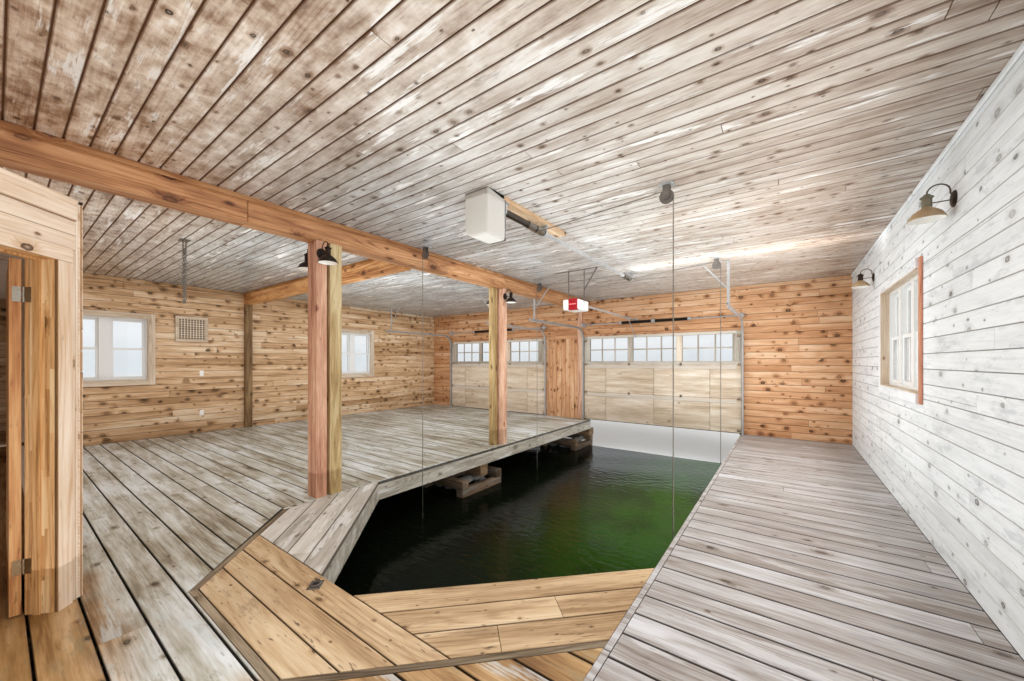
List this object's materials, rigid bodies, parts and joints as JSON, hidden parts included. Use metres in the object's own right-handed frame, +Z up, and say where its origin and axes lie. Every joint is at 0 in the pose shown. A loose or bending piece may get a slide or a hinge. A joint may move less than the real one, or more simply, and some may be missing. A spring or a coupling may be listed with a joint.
{
  "type": "boathouse",
  "caption": "Timber boathouse with a boat slip inside, a plank deck round it, boarded walls, overhead lake doors, a boat lift and a corner closet with a hinged door.",
  "frame": {"origin": "under the middle of the building, at the water line, where the cribs stand", "axes": "+X to the right when facing the lake, +Y to the lake, +Z up"},
  "size_m": [12.19, 11.52, 5.9158],
  "materials": {
    "crib_timber": "rough sawn, weathered",
    "old_plank": "worn, unfinished",
    "new_plank": "planed, unfinished",
    "white_board": "thin white wash",
    "pine": "clear satin",
    "pale_pine": "clear satin",
    "ceiling_pine": "white washed",
    "fir": "planed",
    "door_wood": "satin",
    "shingle": "mineral granules",
    "trim": "painted, satin",
    "white_vinyl": "smooth",
    "bronze_enamel": "satin",
    "galvanised_steel": "zinc coated",
    "glass": "clear"
  },
  "bodies": {
    "building": {"cribs": "crib_timber", "girders": "crib_timber", "joists": "crib_timber", "bay_door_sill": "crib_timber", "left_deck": "old_plank", "right_deck": "old_plank", "land_deck": "old_plank", "slip_apron": "new_plank", "slip_fascia": "white_board", "left_wall": "pine", "right_wall": "pale_pine", "land_wall": "pine", "land_door": "fir", "lake_piers": "pine", "lake_gable": "pine", "ceiling": "ceiling_pine", "roof_left": "shingle", "roof_right": "shingle", "ridge_cap": "shingle", "bargeboards": "trim", "eave_fascias": "trim", "main_beam": "fir", "cross_beam": "fir", "posts": "fir", "windows": "white_vinyl", "window_glass": "glass", "window_casings": "pine", "slip_door": "door_wood", "bay_door": "door_wood", "slip_door_tracks": "galvanised_steel", "bay_door_tracks": "galvanised_steel", "door_opener": "white_vinyl", "barn_lamps": "bronze_enamel", "boat_lift": "galvanised_steel", "lift_cables": "galvanised_steel", "chain_hoist": "galvanised_steel", "vent_panel": "fir", "closet_long_wall": "pale_pine", "closet_side_wall": "pale_pine", "closet_front_left": "pale_pine", "closet_front_right": "pale_pine", "closet_front_header": "pale_pine", "closet_top": "pale_pine", "closet_door_frame": "fir"},
    "closet_door": {"closet_door": "fir"}
  },
  "joints": [
    {"name": "closet_door_hinge", "type": "hinge", "parent": "building", "child": "closet_door", "pos_m": [0.89828, -3.7489, 1.75], "axis": [0, 0, 1], "range_deg": [0, 135]}
  ]
}
